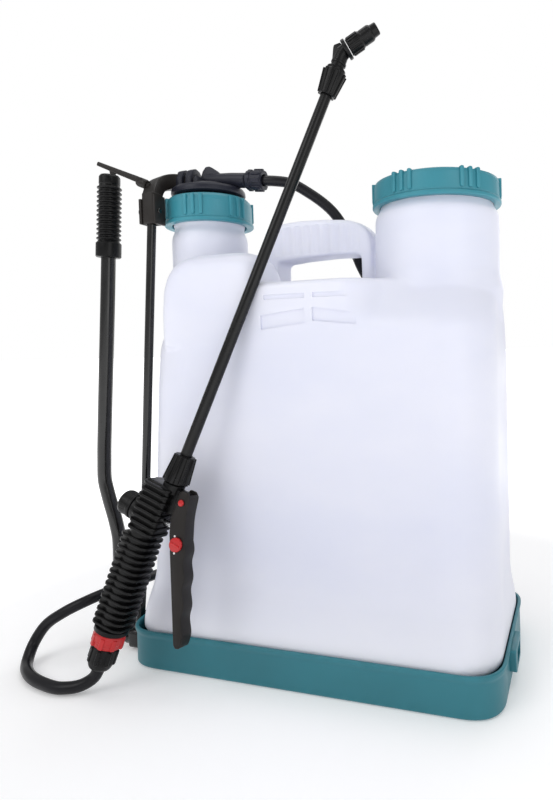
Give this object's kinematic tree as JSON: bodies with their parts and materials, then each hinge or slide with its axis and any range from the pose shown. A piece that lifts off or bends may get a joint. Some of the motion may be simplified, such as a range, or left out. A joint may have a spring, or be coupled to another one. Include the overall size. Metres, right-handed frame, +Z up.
{
  "type": "backpack sprayer",
  "caption": "Backpack sprayer with a translucent tank on a base tray, lever-driven piston pump, screw lid, shoulder straps, hose and a trigger lance.",
  "frame": {"origin": "on the ground plane under the middle of the base tray", "axes": "+X to the filler side, +Y toward the wearer's back, +Z up"},
  "size_m": [0.5035, 0.345, 0.6318],
  "materials": {
    "tank_shell": "satin",
    "teal_base": "satin",
    "teal_lid": "satin",
    "black_plastic": "satin",
    "head_plastic": "satin",
    "arm_plastic": "matte",
    "red_plastic": "gloss",
    "clear_plastic": "satin",
    "rubber": "matte",
    "hose_rubber": "satin",
    "black_steel": "gloss",
    "steel": "brushed",
    "webbing": "woven"
  },
  "bodies": {
    "tank_and_base": {"tank": "tank_shell", "base_skirt": "teal_base", "shaft_bush": "black_plastic", "neck_gasket": "rubber", "pump_cylinder": "clear_plastic", "guide_bush": "black_plastic", "foot_valve": "rubber", "suction_strainer": "clear_plastic", "filler_strainer": "black_plastic", "hose_clip": "black_plastic", "hose_lower": "hose_rubber", "strap_left": "webbing", "strap_right": "webbing", "strap_buckle_left": "black_plastic", "strap_buckle_right": "black_plastic"},
    "ring_nut": {"ring_nut": "teal_lid"},
    "lid_gasket": {"lid_gasket": "rubber"},
    "filler_lid": {"filler_lid": "teal_lid"},
    "pump": {"pump_head": "head_plastic", "pressure_chamber": "black_plastic", "piston_cup": "rubber", "check_valve": "rubber", "dip_tube": "clear_plastic", "hose_upper": "hose_rubber"},
    "outlet_nut": {"outlet_nut": "head_plastic"},
    "arm_and_rod": {"drive_arm": "arm_plastic", "drive_rod": "black_steel", "clamp_screw": "steel"},
    "lever": {"lever_tube": "black_steel", "lever_grip": "black_plastic", "crank_web": "black_steel", "crank_pin": "steel", "crank_clip": "steel", "shaft_clip": "steel"},
    "wand": {"wand_handle": "black_plastic", "hose_ferrule": "black_plastic", "wand_filter": "clear_plastic", "valve_spring": "steel", "trigger_pin": "red_plastic", "lance_tube": "black_plastic", "lance_elbow": "black_plastic"},
    "inlet_nut": {"inlet_nut": "red_plastic"},
    "valve_cap": {"valve_cap": "black_plastic"},
    "valve_plunger": {"valve_plunger": "steel"},
    "trigger": {"trigger": "black_plastic"},
    "trigger_lock": {"trigger_lock": "red_plastic"},
    "lance_nut": {"lance_nut": "black_plastic"},
    "tip_nut": {"tip_nut": "black_plastic"},
    "nozzle_cap": {"nozzle_cap": "black_plastic"}
  },
  "joints": [
    {"name": "ring_nut_turn", "type": "hinge", "parent": "tank_and_base", "child": "ring_nut", "pos_m": [-0.141, 0, 0.48], "axis": [0, 0, 1], "range_deg": [0, 60]},
    {"name": "lid_rise", "type": "slide", "parent": "tank_and_base", "child": "lid_gasket", "axis": [0, 0, 1], "range_m": [0, 0.0125]},
    {"name": "lid_turn", "type": "hinge", "parent": "lid_gasket", "child": "filler_lid", "pos_m": [0.125, 0, 0.475], "axis": [0, 0, 1], "range_deg": [0, 540]},
    {"name": "lever_swing", "type": "hinge", "parent": "tank_and_base", "child": "lever", "pos_m": [-0.236, -0.028, 0.014], "axis": [-1, 0, 0], "range_deg": [0, 65]},
    {"name": "pump_lift", "type": "slide", "parent": "tank_and_base", "child": "pump", "axis": [0, 0, 1], "range_m": [0, 0.0345]},
    {"name": "arm_tilt", "type": "hinge", "parent": "pump", "child": "arm_and_rod", "pos_m": [-0.1635, -0.005, 0.52], "axis": [1, 0, 0], "range_deg": [0, 1.9]},
    {"name": "outlet_nut_turn", "type": "hinge", "parent": "pump", "child": "outlet_nut", "pos_m": [-0.07923, 0, 0.51411], "axis": [0.9945, 0, -0.1045], "range_deg": [0, 180]},
    {"name": "wand_lift_off", "type": "slide", "parent": "tank_and_base", "child": "wand", "axis": [0, -1, 0], "range_m": [0, 0.15]},
    {"name": "inlet_nut_turn", "type": "hinge", "parent": "wand", "child": "inlet_nut", "pos_m": [-0.17287, -0.14716, 0.05249], "axis": [0.301, 0.1595, 0.9402], "range_deg": [0, 180]},
    {"name": "valve_cap_turn", "type": "hinge", "parent": "wand", "child": "valve_cap", "pos_m": [-0.15613, -0.12604, 0.17695], "axis": [-0.9353, 0.0592, 0.3488], "range_deg": [0, 180]},
    {"name": "trigger_squeeze", "type": "hinge", "parent": "wand", "child": "trigger", "pos_m": [-0.09475, -0.12519, 0.18199], "axis": [0, 0.9859, -0.1673], "range_deg": [0, 10], "stiffness_Nm_per_rad": 0.5},
    {"name": "valve_stroke", "type": "slide", "parent": "wand", "child": "valve_plunger", "axis": [-0.9353, 0.0592, 0.3488], "range_m": [0, 0.0042]},
    {"name": "lock_turn", "type": "hinge", "parent": "trigger", "child": "trigger_lock", "pos_m": [-0.09737, -0.14141, 0.14617], "axis": [0, -0.9859, 0.1673], "range_deg": [0, 90]},
    {"name": "lance_nut_turn", "type": "hinge", "parent": "wand", "child": "lance_nut", "pos_m": [-0.10406, -0.12004, 0.21234], "axis": [0.3538, 0.1565, 0.9221], "range_deg": [0, 180]},
    {"name": "tip_nut_turn", "type": "hinge", "parent": "wand", "child": "tip_nut", "pos_m": [0.0364, -0.05792, 0.57843], "axis": [0.3538, 0.1565, 0.9221], "range_deg": [0, 180]},
    {"name": "nozzle_turn", "type": "hinge", "parent": "wand", "child": "nozzle_cap", "pos_m": [0.06679, -0.05106, 0.61885], "axis": [0.8806, 0.0793, 0.4671], "range_deg": [0, 360]}
  ],
  "couplings": [
    {"joint": "lid_rise", "follows": "lid_turn", "m_per_rad": 0.0012732},
    {"joint": "pump_lift", "follows": "lever_swing", "m_per_rad": 0.03},
    {"joint": "arm_tilt", "follows": "lever_swing", "ratio": 0.029},
    {"joint": "valve_stroke", "follows": "trigger_squeeze", "m_per_rad": 0.023}
  ]
}
